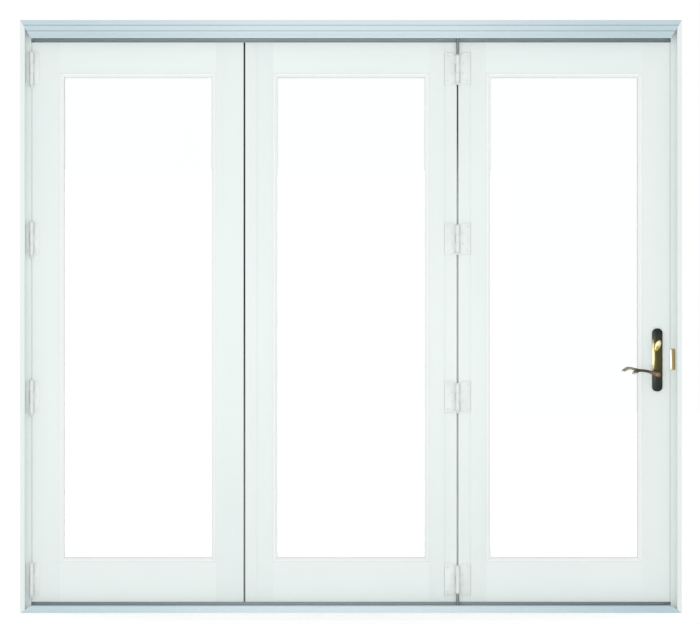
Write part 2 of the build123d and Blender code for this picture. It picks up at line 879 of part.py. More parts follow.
def make_grip(middle_y):
    """Waved grip with a spur under it, cut from a flat bar."""
    grip_origin = (handle_x, middle_y + grip_thickness / 2, lever_height)
    grip_plane = Plane(grip_origin, x_dir=(1, 0, 0), z_dir=(0, -1, 0))
    with BuildPart() as grip:
        with BuildSketch(grip_plane):
            with BuildLine():
                Spline(*grip_top)
                ThreePointArc(*grip_tip)
                Spline(*grip_hollow)
                Spline(*spur_front)
                ThreePointArc(*spur_tip)
                Spline(*grip_under)
                ThreePointArc(*grip_heel)
            make_face()
        extrude(amount=grip_thickness)
    return grip.part


def make_lever(face_y, facing, grip):
    """Turned hub and neck that carry the grip clear of the leaf."""
    seat = face_to_seat + seat_gap
    shaft = [
        (0, 0),
        (shank_radius, 0),
        (shank_radius, seat),
        (hub_radius, seat),
        (hub_radius, seat + hub_length),
        (neck_radius, seat + hub_length),
        (neck_radius, face_to_seat + grip_reach),
        (0, face_to_seat + grip_reach),
    ]
    shaft_plane = Plane((handle_x, face_y, lever_height), x_dir=(1, 0, 0), z_dir=(0, 0, facing))
    with BuildPart() as lever:
        with BuildSketch(shaft_plane):
            with BuildLine():
                Polyline(*shaft, close=True)
            make_face()
        revolve(axis=Axis((handle_x, face_y, lever_height), (0, facing, 0)))
        add(grip)
    return lever.part


front_grip = make_grip(panel_front - face_to_seat - grip_reach)
with BuildPart() as front_lever:
    add(make_lever(panel_front, -1, front_grip))
    with BuildSketch(Plane.XZ.offset(-panel_front)):
        with Locations((handle_x, lever_height)):
            Rectangle(spindle_size, spindle_size)
    extrude(amount=-(panel_thickness + socket_depth - socket_room))
save(front_lever.part, "front_lever")

back_grip = make_grip(panel_back + face_to_seat + grip_reach)
with BuildPart() as back_lever:
    add(make_lever(panel_back, 1, back_grip))
    with BuildSketch(Plane.XZ.offset(-panel_back)):
        with Locations((handle_x, lever_height)):
            Rectangle(spindle_size + 2 * spindle_fit, spindle_size + 2 * spindle_fit)
    extrude(amount=-socket_depth, mode=Mode.SUBTRACT)
save(back_lever.part, "back_lever")


# Thumb turn: a shank through the plate, a small rose, a neck and an oval head
with BuildPart() as thumb_turn:
    turn_seat = panel_front - face_to_seat - seat_gap
    with BuildSketch(Plane.XZ.offset(-panel_front)):
        with Locations((handle_x, turn_height)):
            Circle(shank_radius)
    extrude(amount=face_to_seat + seat_gap)
    with BuildSketch(Plane.XZ.offset(-turn_seat)):
        with Locations((handle_x, turn_height)):
            Circle(rose_radius)
    extrude(amount=rose_height)
    with BuildSketch(Plane.XZ.offset(-turn_seat + rose_height)):
        with Locations((handle_x, turn_height)):
            Circle(turn_neck_radius)
    extrude(amount=turn_neck_length)
    with BuildSketch(Plane.XZ.offset(-turn_seat + rose_height + turn_neck_length)):
        with Locations((handle_x, turn_height)):
            Ellipse(turn_width / 2, turn_length / 2, rotation=-turn_tilt)
    extrude(amount=turn_thickness)
    chamfer(thumb_turn.faces().sort_by(Axis.Y)[0].edges(), length=turn_bevel)
save(thumb_turn.part, "thumb_turn")


# Key cylinder on the garden side
with BuildPart() as key_cylinder:
    with BuildSketch(Plane.XZ.offset(-panel_back)):
        with Locations((handle_x, turn_height)):
            Circle(cylinder_radius)
    extrude(amount=-(face_to_seat + cylinder_proud))
    with BuildSketch(Plane.XZ.offset(-(panel_back + face_to_seat + cylinder_proud))):
        with Locations((handle_x, turn_height)):
            Rectangle(key_slot_width, key_slot_length)
    extrude(amount=key_slot_depth, mode=Mode.SUBTRACT)
save(key_cylinder.part, "key_cylinder")
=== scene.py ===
import json
import math

import bmesh
import bpy
from mathutils import Matrix, Vector


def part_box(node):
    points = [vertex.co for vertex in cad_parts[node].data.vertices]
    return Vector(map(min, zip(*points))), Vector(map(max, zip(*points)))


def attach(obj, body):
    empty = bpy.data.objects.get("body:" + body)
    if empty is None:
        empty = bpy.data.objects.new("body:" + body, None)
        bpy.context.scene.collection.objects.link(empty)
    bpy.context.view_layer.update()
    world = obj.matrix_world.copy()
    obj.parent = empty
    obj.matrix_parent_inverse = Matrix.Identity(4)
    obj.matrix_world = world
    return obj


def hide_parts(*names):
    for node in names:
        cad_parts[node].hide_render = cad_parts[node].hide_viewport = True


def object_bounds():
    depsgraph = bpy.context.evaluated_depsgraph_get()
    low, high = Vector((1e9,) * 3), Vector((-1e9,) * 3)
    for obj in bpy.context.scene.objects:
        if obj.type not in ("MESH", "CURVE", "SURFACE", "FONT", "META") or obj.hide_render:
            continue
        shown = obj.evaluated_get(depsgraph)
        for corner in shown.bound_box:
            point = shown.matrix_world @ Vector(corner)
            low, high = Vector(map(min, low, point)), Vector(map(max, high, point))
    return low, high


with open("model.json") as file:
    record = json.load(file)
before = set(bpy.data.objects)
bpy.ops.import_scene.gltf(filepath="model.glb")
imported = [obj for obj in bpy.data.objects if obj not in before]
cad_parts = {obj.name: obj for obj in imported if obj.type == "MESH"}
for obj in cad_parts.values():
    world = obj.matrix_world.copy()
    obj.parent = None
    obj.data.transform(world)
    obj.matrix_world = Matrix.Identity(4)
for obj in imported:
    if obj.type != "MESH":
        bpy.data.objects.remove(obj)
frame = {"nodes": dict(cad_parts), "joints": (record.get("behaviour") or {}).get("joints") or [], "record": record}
cad_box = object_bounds()
nodes = frame["nodes"]
joints = {joint["name"]: Vector(joint["pos_m"]) for joint in frame["joints"]}

# Bifold glass patio door. Lengths in metres, or in millimetres times MM.
MM = 0.001
ROOM = -1
GARDEN = 1

# Front of the frame and the two faces of the leaves, in millimetres like the sizes below
FRAME_FACE = -58.0
FACES = {ROOM: -24.0, GARDEN: 21.0}

# Middle of the joint between the second and third leaf
FOLD_LINE = 379.0

# Hinges as the solids have them. A reach runs from the barrel's axis to a plate's far edge.
HINGE_HEIGHTS = (117.5, 766.5, 1329.5, 1934.5)
HINGE_LENGTH = 112.0
HINGE_THICKNESS = 3.0
HINGE_CORNER = 4.0
HINGE_INNER_CORNER = 1.0
HINGE_RIM = 0.7
HINGE_SLOPE = 9.0
WIDE_BARREL = 90.0
WIDE_REACH = 46.0
NARROW_REACH = 27.0
JAMB_REACH = 21.0
KNUCKLES = 3
KNUCKLE_RADIUS = 7.5
KNUCKLE_STANDOFF = 8.5
KNUCKLE_GAP = 0.3
KNUCKLE_EDGE = 0.8
TONGUE_REACH = 1.1 * KNUCKLE_STANDOFF

# Name, solids it stands for, face it lies on, reaches to the left and right, length of its barrel
HINGE_SETS = (
    ("jamb_hinge_set", "jamb_hinges", ROOM, (JAMB_REACH, NARROW_REACH), HINGE_LENGTH),
    ("garden_hinge_set", "back_hinges", GARDEN, (WIDE_REACH, WIDE_REACH), WIDE_BARREL),
    ("room_hinge_set", "front_hinges", ROOM, (WIDE_REACH, WIDE_REACH), WIDE_BARREL),
)

# Radii of the screws, and their places from a hinge plate's middle line and its ends
WIDE_SCREW = 3.6
SLIM_SCREW = 3.0
PLATE_SCREW = 3.4
STAGGER = 8.0
OUTER_SCREW = 12.0
INNER_SCREW = 38.0

# A screw's head as shares of its radius, and its rings as shares of outline and crown
CROSS_ARM = 0.62
CROSS_HALF = 0.17
CROWN = 0.28
RIM_RING = (1, 0)
SHOULDER_RING = (0.86, 0.75)
CROWN_RING = (1, 1)
RECESS_RING = (0.7, 0.15)

# Ends of the pins. Here and below a profile's points are shares of a radius and a height.
CAP_RADIUS = 6.5
CAP_HEIGHT = 5.0
FINIAL_HEIGHT = 9.0
BUTTON_PROFILE = ((1, 0), (1, 0.4), (0.85, 0.75), (0.5, 0.95), (0.1, 1))
COLLAR_PROFILE = ((1, 0), (1, 0.6))
STUB_PROFILE = ((0.8, 1),)
FINIAL_PROFILE = (
    (0.55, 0.36), (0.5, 0.45), (0.7, 0.52), (0.82, 0.61),
    (0.78, 0.74), (0.58, 0.86), (0.3, 0.95), (0.08, 1.0),
)

# Handle plates
ESCUTCHEON_WIDTH = 37.0
ESCUTCHEON_LENGTH = 224.0
ESCUTCHEON_CORNER = 16.0
ESCUTCHEON_DEPTH = 6.5
ESCUTCHEON_RIM = 2.5
ESCUTCHEON_HEIGHT = 898.0
ESCUTCHEON_SCREWS = 97.0
FIELD_INSET = 5.5
FIELD_RISE = 1.5
FIELD_RIM = 0.8 * FIELD_RISE
FACE_TO_SEAT = ESCUTCHEON_DEPTH + FIELD_RISE
SEAT_GAP = 0.3

# Levers: shank through the plate, hub on it, neck out to the boss, and grip
SHANK_RADIUS = 8.0
HUB_RADIUS = 11.0
HUB_LENGTH = 12.0
HUB_EDGE = 0.5
HUB_PROFILE = ((0.96, 0), (1, HUB_EDGE / HUB_LENGTH), (1, 0.45), (0.93, 0.7), (0.75, 0.9))
NECK_RADIUS = 6.0
NECK_START = 1.15 * HUB_LENGTH
BOSS_RADIUS = 9.5
BOSS_PROFILE = (
    (NECK_RADIUS / BOSS_RADIUS, -1.3), (0.85, -1), (1, -0.6), (1, 0.4),
    (0.9, 0.85), (0.7, 1.05), (0.35, 1.15),
)
GRIP_REACH = 42.0
GRIP_DEPTH = 9.0

# Middle line of the grip from its boss to its tip, and of the spur under it:
# X and Z from the boss, then half the height and half the depth there
GRIP = (
    (3, 0, 6.5, 3.0), (-7, 2.8, 7.4, 3.8), (-18, 6.5, 6.3, 4.5), (-30, 10, 5.3, 4.5),
    (-42, 13, 4.9, 4.5), (-54, 14.5, 4.8, 4.5), (-66, 15.5, 5.0, 4.5), (-78, 18.2, 4.8, 4.5),
    (-90, 21.8, 4.3, 4.3), (-100, 22.4, 4.2, 4.1), (-108, 20.2, 3.9, 3.8),
    (-114, 16.8, 3.4, 3.3), (-118, 13.7, 2.6, 2.6), (-120, 12, 1.5, 1.6),
    (-120.6, 11.4, 0.4, 0.5),
)
SPUR = (
    (-62, 14, 3.0, 3.4), (-69, 12, 3.3, 3.6), (-75.5, 9, 3.5, 3.7), (-80.5, 5.6, 3.3, 3.6),
    (-82.4, 2.9, 2.6, 3.0), (-82.2, 1.2, 1.6, 2.0), (-81.4, 0.2, 0.5, 0.8),
)

# Thumb turn: rose, neck with a flare at its foot, and oval head
ROSE_RADIUS = 12.0
ROSE_HEIGHT = 3.0
ROSE_PROFILE = ((1, 0), (1, 0.5), (0.9, 1))
TURN_NECK_RADIUS = 5.0
TURN_NECK_LENGTH = 6.0
FLARE_RADIUS = 1.2 * TURN_NECK_RADIUS
FLARE_HEIGHT = 1.0
TURN_WIDTH = 21.0
TURN_LENGTH = 44.0
TURN_THICKNESS = 6.0
TURN_TILT = 27.0
TURN_PROFILE = (
    (0.8, 0), (0.94, 0.12), (1, 0.35), (0.98, 0.6), (0.9, 0.8), (0.74, 0.92), (0.4, 0.99), (0.1, 1),
)

# Strike: its lip over the gap, and the pierced plate let into the jamb
STRIKE_LENGTH = 76.0
STRIKE_THICKNESS = 2.0
STRIKE_LIP = 2.5
STRIKE_CORNER = 5.0
STRIKE_RIM = 1.2
STRIKE_INNER_CORNER = 1.0
STRIKE_HOLE = (15.0, 21.0)

# How finely curves are drawn, and the angle in degrees from which an edge is sharp
CORNER_STEPS = 5
RIM_STEPS = 3
SWEEP_STEPS = 4
SWEEP_SIDES = 16
TURNED_SIDES = 28
KNUCKLE_SIDES = 24
OVAL_SIDES = 40
SHARP_ANGLE = 35

# Octaves of the grain, the blobs that fray a patch of wear or painted light and how far they do, the
# shares of its reach where a patch starts and ends to fade, and the reach of one without an end
GRAIN_DETAIL = 3.0
RAGGED = (5, 5, 12)
FRAY = 0.4
FADE = (0.55, 1.25)
NO_END = 0

# Sockets of a colour mix, by number because their names repeat for each type of data
MIX_SHARE, MIX_BELOW, MIX_ABOVE = 0, 6, 7
MIX_RESULT = 2

# Places read from the model
handle_x = joints["lever_turn"].x / MM
lever_height = joints["lever_turn"].z / MM
turn_height = joints["thumb_turn_lock"].z / MM
hinge_lines = {
    solids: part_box(solids)[0].x / MM + reaches[0] for _, solids, _, reaches, _ in HINGE_SETS
}


# Materials

def colour(code):
    """An sRGB hex value as linear red, green, blue and alpha."""
    parts = [int(code[i:i + 2], 16) / 255 for i in (1, 3, 5)]
    linear = [p / 12.92 if p <= 0.04045 else ((p + 0.055) / 1.055) ** 2.4 for p in parts]
    return (*linear, 1.0)


def feed(tree, node, inputs):
    """Sets a node's inputs: a value, or the output of another node to link."""
    for key, value in inputs.items():
        if isinstance(value, bpy.types.NodeSocket):
            tree.links.new(value, node.inputs[key])
        else:
            node.inputs[key].default_value = value


def add(tree, kind, inputs=None, **settings):
    """Adds a node with its settings and its inputs."""
    node = tree.nodes.new(kind)
    for key, value in settings.items():
        setattr(node, key, value)
    feed(tree, node, inputs or {})
    return node


def grain(tree, size):
    """Noise whose blobs have a real size along X, Y and Z, in millimetres."""
    place = add(tree, "ShaderNodeTexCoord")
    fitted = add(tree, "ShaderNodeMapping", {
        "Vector": place.outputs["Object"], "Scale": [1 / (side * MM) for side in size],
    })
    noise = {"Vector": fitted.outputs["Vector"], "Scale": 1.0, "Detail": GRAIN_DETAIL}
    return add(tree, "ShaderNodeTexNoise", noise).outputs[0]


def patch(tree, centre, reach):
    """One about a place, falling with a ragged edge to nought at its reach. In millimetres."""
    place = add(tree, "ShaderNodeTexCoord")
    scale = [1 / (side * MM) if side != NO_END else 0.0 for side in reach]
    shift = [-middle * MM * factor for middle, factor in zip(centre, scale)]
    fitted = add(tree, "ShaderNodeMapping", {
        "Vector": place.outputs["Object"], "Location": shift, "Scale": scale,
    })
    away = add(tree, "ShaderNodeVectorMath", {0: fitted.outputs["Vector"]}, operation="LENGTH")
    ragged = {0: grain(tree, RAGGED), 1: FRAY, 2: away.outputs["Value"]}
    edge = add(tree, "ShaderNodeMath", ragged, operation="MULTIPLY_ADD")
    near, far = FADE
    return add(tree, "ShaderNodeMapRange", {
        "Value": edge.outputs["Value"],
        "From Min": near, "From Max": far, "To Min": 1.0, "To Max": 0.0,
    }).outputs["Result"]


def mix(tree, share, below, above):
    """One colour laid over another by a share of it."""
    inputs = {MIX_SHARE: share, MIX_BELOW: below, MIX_ABOVE: above}
    return add(tree, "ShaderNodeMix", inputs, data_type="RGBA").outputs[MIX_RESULT]


def finish(name, pale, deep, tone, touch, rough, height, sockets=None, wear_and_painted_light=()):
    """A material whose colour follows one grain, tone, and whose gloss and relief follow touch.

    Patches are laid over the grain, each a colour, its middle and its reach: some are wear, others painted
    highlights, painted reflections and painted shade.
    """
    material = bpy.data.materials.new(name)
    material.use_nodes = True
    tree = material.node_tree
    shader = tree.nodes["Principled BSDF"]
    shade = mix(tree, grain(tree, tone), colour(pale), colour(deep))
    for code, centre, reach in wear_and_painted_light:
        shade = mix(tree, patch(tree, centre, reach), shade, colour(code))
    relief = grain(tree, touch)
    smooth, dull = rough
    gloss = add(tree, "ShaderNodeMapRange", {"Value": relief, "To Min": smooth, "To Max": dull})
    bump = add(tree, "ShaderNodeBump", {"Height": relief, "Distance": height * MM})
    feed(tree, shader, {
        "Base Color": shade,
        "Roughness": gloss.outputs["Result"],
        "Normal": bump.outputs["Normal"],
        **(sockets or {}),
    })
    return material


def along(axis, across, length):
    """A grain size drawn out along one axis."""
    size = [across, across, across]
    size["XYZ".index(axis)] = length
    return size


def extruded_vinyl(place, axis, pale, deep):
    """Extruded white PVC: cool and satin, with faint lines from the die along each bar."""
    return finish(
        f"extruded_vinyl_{place}", pale, deep, along(axis, 160, 700), along(axis, 3, 500),
        (0.30, 0.42), 0.03, {"IOR": 1.53},
    )


def soft_vinyl():
    """Soft white vinyl of the edge seals: matt, with painted shade in grey high up at the fold."""
    return finish(
        "soft_vinyl", "#DDE2E0", "#D2D9D7", along("Z", 30, 300), along("Z", 2, 40),
        (0.45, 0.6), 0.03,
        # Painted shade: a dark grey patch on the seal high up in the joint at the fold, where the gap lies in
        # shadow.
        wear_and_painted_light=(("#5E6463", (FOLD_LINE, 0, 1840), (60, NO_END, 380)),),
    )


def anodised_aluminium():
    """Silver blue anodised aluminium: soft, finely lined, and paler in its middle from a painted reflection."""
    return finish(
        "anodised_aluminium", "#BCCBD0", "#A6BCC2", along("X", 60, 900), along("X", 1.5, 300),
        (0.34, 0.46), 0.02, {"Metallic": 0.35},
        # Painted reflection: a paler patch across the middle of the head and sill, where a lamp's glint would
        # fall.
        (("#BFCDD2", (0, 0, 0), (950, NO_END, NO_END)),),
    )


def mill_aluminium():
    """Plain extruded aluminium: grey, brighter and more scratched than the anodised head."""
    return finish(
        "mill_aluminium", "#B9BCBE", "#A4A8AB", along("X", 30, 400), along("X", 1, 200),
        (0.28, 0.45), 0.03, {"Metallic": 1.0},
    )


def coated_spacer():
    """White coated spacer bar between the panes: matt, and nearly as pale as the beads."""
    return finish(
        "coated_spacer", "#E3E5E4", "#D9DCDB", along("Z", 20, 200), (2, 2, 2), (0.5, 0.65), 0.02,
    )


def float_glass():
    """Float glass: clear and colourless, with a ripple too slight to bend the view."""
    return finish(
        "float_glass", "#FFFFFF", "#FEFFFF", (400, 400, 400), (300, 300, 300),
        (0.0, 0.004), 0.002, {"Transmission Weight": 1.0, "IOR": 1.45},
    )


def weather_rubber():
    """Moulded black rubber: dull, with a fine tooth, and paler grey towards the floor."""
    return finish(
        "weather_rubber", "#272727", "#1A1A1B", along("Z", 20, 200), along("Z", 1.2, 12),
        (0.6, 0.78), 0.05,
        # Paler grey towards the floor, over the seals low down in the gaps.
        wear_and_painted_light=(("#8C908F", (0, 0, 0), (NO_END, NO_END, 1050)),),
    )


def powder_coated_steel():
    """White powder coat baked on steel: a slight orange peel that softens its glints."""
    return finish(
        "powder_coated_steel", "#DAE0DE", "#CFD6D4", (40, 40, 40), (2, 2, 2), (0.26, 0.4), 0.06,
        {"Coat Weight": 0.2, "Coat Roughness": 0.2},
    )


def zinc_plated_steel():
    """Zinc plated steel: a cool grey metal with cloudy spots."""
    return finish(
        "zinc_plated_steel", "#939997", "#777D7D", (8, 8, 8), (1.5, 1.5, 1.5),
        (0.38, 0.55), 0.03, {"Metallic": 1.0},
    )


def moulded_acetal():
    """Moulded black acetal: smooth, dark and waxy."""
    return finish(
        "moulded_acetal", "#26272A", "#1B1C1E", (10, 10, 10), (1, 1, 1), (0.35, 0.5), 0.02,
    )


def rubbed_bronze():
    """Oil rubbed bronze: black at the ends, olive gold middle partly worn and partly a painted reflection, a
    painted highlight along one edge.
    """
    return finish(
        "rubbed_bronze", "#262B23", "#141A17", (14, 14, 22), (2, 2, 6), (0.22, 0.38), 0.05,
        {"Metallic": 0.85, "Coat Weight": 0.25, "Coat Roughness": 0.15},
        (
            # Olive gold middle of the plates: partly wear where hands pass, partly a painted reflection.
            ("#443E16", (handle_x, 0, 908), (34, NO_END, 84)),
            # Painted highlight: a pale band down the left rim of the plate, where light glints on it.
            ("#EADFB4", (handle_x - 17, 0, 912), (9, NO_END, 62)),
        ),
    )


def handled_and_lit_bronze():
    """Bronze of the levers: coppery at the boss from handling, with painted highlights along the crest and on the
    spur.
    """
    return finish(
        "handled_and_lit_bronze", "#4E483F", "#39342D", (9, 9, 9), (2, 2, 2), (0.22, 0.36), 0.04,
        {"Metallic": 0.9, "Coat Weight": 0.2, "Coat Roughness": 0.15},
        (
            ("#7C6554", (handle_x - 8, 0, lever_height + 3), (30, NO_END, 16)),
            # Painted highlight: a paler grey band along the crest of the grip, where light falls on its top.
            ("#8F887A", (handle_x - 106, 0, lever_height + 20), (32, NO_END, 15)),
            # Painted highlight: a pale brass glint on the spur under the grip.
            ("#BDB28E", (handle_x - 80, 0, lever_height + 3), (10, NO_END, 7)),
        ),
    )


def polished_brass():
    """Polished brass, duller and greener in itself, with painted highlights on the thumb turn and the strike's lip
    and painted shade on the strike's flange.
    """
    return finish(
        "polished_brass", "#B3A565", "#978A50", (12, 12, 12), (1, 1, 8), (0.14, 0.28), 0.02,
        {"Metallic": 1.0},
        (
            # Painted highlight: a pale glint on the head of the thumb turn.
            ("#F4EBC0", (handle_x + 1, 0, turn_height + 10), (13, NO_END, 15)),
            # Painted shade: darker tan over the strike's flat flange, the side in shade.
            ("#9C8A66", (handle_x + 60, 0, ESCUTCHEON_HEIGHT), (14, NO_END, 70)),
            # Painted highlight: a pale band down the strike's rounded lip, where light catches it.
            ("#F6EAC4", (handle_x + 46, 0, ESCUTCHEON_HEIGHT), (8, NO_END, 70)),
        ),
    )


def brushed_steel():
    """Brushed steel: grey, with streaks up and down the faceplate."""
    return finish(
        "brushed_steel", "#BEBDBA", "#9D9C99", along("Z", 12, 120), along("Z", 0.8, 60),
        (0.25, 0.42), 0.03, {"Metallic": 1.0},
    )


VINYL_UPRIGHT = extruded_vinyl("upright", "Z", "#DCE3E1", "#D2DBD9")
VINYL_ACROSS = extruded_vinyl("across", "X", "#DFE6E4", "#D5DEDC")
# Paler vinyl for the glazing beads: a painted highlight where their slopes catch the light.
VINYL_BEADS_PAINTED_LIGHT = extruded_vinyl("beads", "Z", "#E9EDEC", "#E1E6E5")
VINYL_SEALS = soft_vinyl()
LEVER_BRONZE = handled_and_lit_bronze()
MATERIALS = {
    "anodised_aluminium": anodised_aluminium(),
    "track_aluminium": mill_aluminium(),
    "spacer_aluminium": coated_spacer(),
    "clear_glass": float_glass(),
    "black_rubber": weather_rubber(),
    "white_powder_coat": powder_coated_steel(),
    "zinc_plated_steel": zinc_plated_steel(),
    "black_acetal": moulded_acetal(),
    "oil_rubbed_bronze": rubbed_bronze(),
    "polished_brass": polished_brass(),
    "lock_steel": brushed_steel(),
}


def dress_solids():
    """Gives every solid of the model its material, white vinyl by what each bar is for."""
    for row in frame["record"]["subparts"]:
        name = row["node"]
        slot = row["material_slot"]
        low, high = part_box(name)
        if name == "edge_seals":
            material = VINYL_SEALS
        # The beads get the paler vinyl, a painted highlight on their slopes.
        elif name.endswith("_beads"):
            material = VINYL_BEADS_PAINTED_LIGHT
        elif slot == "white_vinyl":
            tall = high.z - low.z > high.x - low.x
            material = VINYL_UPRIGHT if tall else VINYL_ACROSS
        else:
            material = MATERIALS[slot]
        nodes[name].data.materials.clear()
        nodes[name].data.materials.append(material)


# Mesh helpers

def upright(x, y, z):
    """Places a turned profile upright. In millimetres."""
    return Matrix.Translation(Vector((x, y, z)) * MM) @ Matrix.Scale(MM, 4)


def on_face(x, z, facing):
    """Places a local X, Y drawing in millimetres on a face of the leaves, local Z out of it."""
    axes = Matrix(((-facing, 0, 0), (0, 0, facing), (0, 1, 0))).to_4x4()
    return Matrix.Translation(Vector((x, FACES[facing], z)) * MM) @ axes @ Matrix.Scale(MM, 4)


def loft(mesh, rings, place):
    """Skins rings of points and closes both ends."""
    made = [[mesh.verts.new(place @ Vector(point)) for point in ring] for ring in rings]
    for lower, upper in zip(made, made[1:]):
        for i in range(len(lower)):
            mesh.faces.new((lower[i - 1], lower[i], upper[i], upper[i - 1]))
    mesh.faces.new(made[0])
    mesh.faces.new(made[-1])


def sized(profile, radius, height, base=0.0):
    """A profile of shares as radii and heights over a base."""
    return [(radius * wide, base + height * up) for wide, up in profile]


def lathe(mesh, profile, place, sides=TURNED_SIDES):
    """Turns a profile of radius and height round local Z."""
    turns = [2 * math.pi * i / sides for i in range(sides)]
    loft(mesh, [
        [(radius * math.cos(t), radius * math.sin(t), height) for t in turns]
        for radius, height in profile
    ], place)


def rounded(corners):
    """An outline with round corners, each given as X, Y and radius."""
    outline = []
    for i, (x, y, radius) in enumerate(corners):
        here = Vector((x, y))
        before = (Vector(corners[i - 1][:2]) - here).normalized()
        after = (Vector(corners[(i + 1) % len(corners)][:2]) - here).normalized()
        half = before.angle(after) / 2
        middle = here + (before + after).normalized() * radius / math.sin(half)
        start = here + before * radius / math.tan(half) - middle
        first = math.atan2(start.y, start.x)
        sweep = math.copysign(math.pi - 2 * half, after.cross(before))
        for step in range(CORNER_STEPS + 1):
            turn = first + sweep * step / CORNER_STEPS
            across = radius * math.cos(turn)
            up = radius * math.sin(turn)
            outline.append((middle.x + across, middle.y + up))
    return outline


def plate_outline(width, height, corner):
    """A rectangle with round corners about its middle."""
    x = width / 2
    y = height / 2
    return rounded([(x, y, corner), (-x, y, corner), (-x, -y, corner), (x, -y, corner)])


def inset(outline, distance):
    """An outline moved inwards by a distance."""
    points = [Vector(point) for point in outline]
    area = sum(points[i - 1].cross(points[i]) for i in range(len(points)))
    side = math.copysign(1, area)
    moved = []
    for i, point in enumerate(points):
        into = (point - points[i - 1]).normalized()
        out = (points[(i + 1) % len(points)] - point).normalized()
        bisector = (into + out).normalized()
        normal = Vector((-bisector.y, bisector.x)) * side
        moved.append(tuple(point + normal * distance / bisector.dot(out)))
    return moved


def slab(mesh, outline, depth, rim, place, steps=RIM_STEPS):
    """Thickens an outline along local Z and rounds its far rim."""
    rings = [[(x, y, 0) for x, y in outline]]
    for step in range(steps + 1):
        turn = math.pi / 2 * step / steps
        height = depth - rim + rim * math.sin(turn)
        rings.append([(x, y, height) for x, y in inset(outline, rim * (1 - math.cos(turn)))])
    loft(mesh, rings, place)


def pierced(mesh, outer, inner, depth, place):
    """Thickens the band between an outline and a hole with as many corners."""
    rings = [(inner, 0), (inner, depth), (outer, depth), (outer, 0)]
    made = [
        [mesh.verts.new(place @ Vector((x, y, height))) for x, y in outline]
        for outline, height in rings
    ]
    for here, after in zip(made, made[1:] + made[:1]):
        for i in range(len(here)):
            mesh.faces.new((here[i - 1], here[i], after[i], after[i - 1]))


def between(before, start, end, after, share):
    """A smooth value between start and end, led by the values on both sides."""
    lead = (end - before) / 2
    trail = (after - start) / 2
    rise = end - start
    square = 3 * rise - 2 * lead - trail
    cube = lead + trail - 2 * rise
    return start + share * (lead + share * (square + share * cube))


def swept(mesh, stations, place):
    """Skins ovals along a smooth line of stations: X, Y, half the height and half the depth."""
    line = []
    last = len(stations) - 1
    for i in range(last):
        four = [
            stations[max(i - 1, 0)], stations[i], stations[i + 1], stations[min(i + 2, last)],
        ]
        for step in range(SWEEP_STEPS):
            line.append([between(*column, step / SWEEP_STEPS) for column in zip(*four)])
    line.append(stations[last])
    rings = []
    for i, (x, y, high, deep) in enumerate(line):
        ahead = line[min(i + 1, len(line) - 1)]
        behind = line[max(i - 1, 0)]
        heading = Vector((ahead[0] - behind[0], ahead[1] - behind[1])).normalized()
        ring = []
        for side in range(SWEEP_SIDES):
            turn = 2 * math.pi * side / SWEEP_SIDES
            across = high * math.cos(turn)
            out = deep * math.sin(turn)
            ring.append((x - heading.y * across, y + heading.x * across, out))
        rings.append(ring)
    loft(mesh, rings, place)


def screw(mesh, place, radius):
    """Oval screw head with a cross recess."""
    arm = CROSS_ARM * radius
    half = CROSS_HALF * radius
    crown = CROWN * radius
    quarter = [Vector((arm, -half)), Vector((arm, half)), Vector((half, half))]
    turns = [Matrix.Rotation(turn * math.pi / 2, 2) for turn in range(4)]
    cross = [turn @ corner for turn in turns for corner in quarter]
    edge = [corner.normalized() * radius for corner in cross]
    rings = []
    for outline, (wide, up) in (
        (edge, RIM_RING), (edge, SHOULDER_RING), (cross, CROWN_RING), (cross, RECESS_RING),
    ):
        rings.append([(*(corner * wide), crown * up) for corner in outline])
    loft(mesh, rings, place)


def piece_from(name, mesh, slot, body, *replaced, material=None):
    """Turns a mesh into a piece that rides on a body, in its slot's material if none is given."""
    bmesh.ops.recalc_face_normals(mesh, faces=mesh.faces)
    data = bpy.data.meshes.new(name)
    mesh.to_mesh(data)
    mesh.free()
    data.polygons.foreach_set("use_smooth", [True] * len(data.polygons))
    data.set_sharp_from_angle(angle=math.radians(SHARP_ANGLE))
    data.materials.append(material or MATERIALS[slot])
    piece = bpy.data.objects.new(name, data)
    bpy.context.scene.collection.objects.link(piece)
    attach(piece, body)
    if replaced:
        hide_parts(*replaced)


# Hinges

def hinge_plate(side, reach, barrel):
    """Outline of a hinge plate from the barrel's axis; past a short barrel its corners slope."""
    inner = KNUCKLE_STANDOFF
    half = HINGE_LENGTH / 2
    corners = [(reach, -half, HINGE_CORNER), (reach, half, HINGE_CORNER)]
    if barrel < HINGE_LENGTH:
        slope = inner + HINGE_SLOPE
        edge = [(slope, half), (inner, barrel / 2), (inner, -barrel / 2), (slope, -half)]
    else:
        edge = [(inner, half), (inner, -half)]
    corners += [(x, y, HINGE_INNER_CORNER) for x, y in edge]
    return rounded([(side * x, y, radius) for x, y, radius in corners])


def screw_places(reach, barrel):
    """Screws on a plate, from the barrel's axis: a row on a slim plate, staggered on a wide one."""
    middle = (KNUCKLE_STANDOFF + reach) / 2
    outer = HINGE_LENGTH / 2 - OUTER_SCREW
    inner = HINGE_LENGTH / 2 - INNER_SCREW
    if barrel < HINGE_LENGTH:
        near = middle - STAGGER
        far = middle + STAGGER
        return [(far, outer), (near, inner), (near, -inner), (far, -outer)]
    return [(middle, outer), (middle, 0), (middle, -outer)]


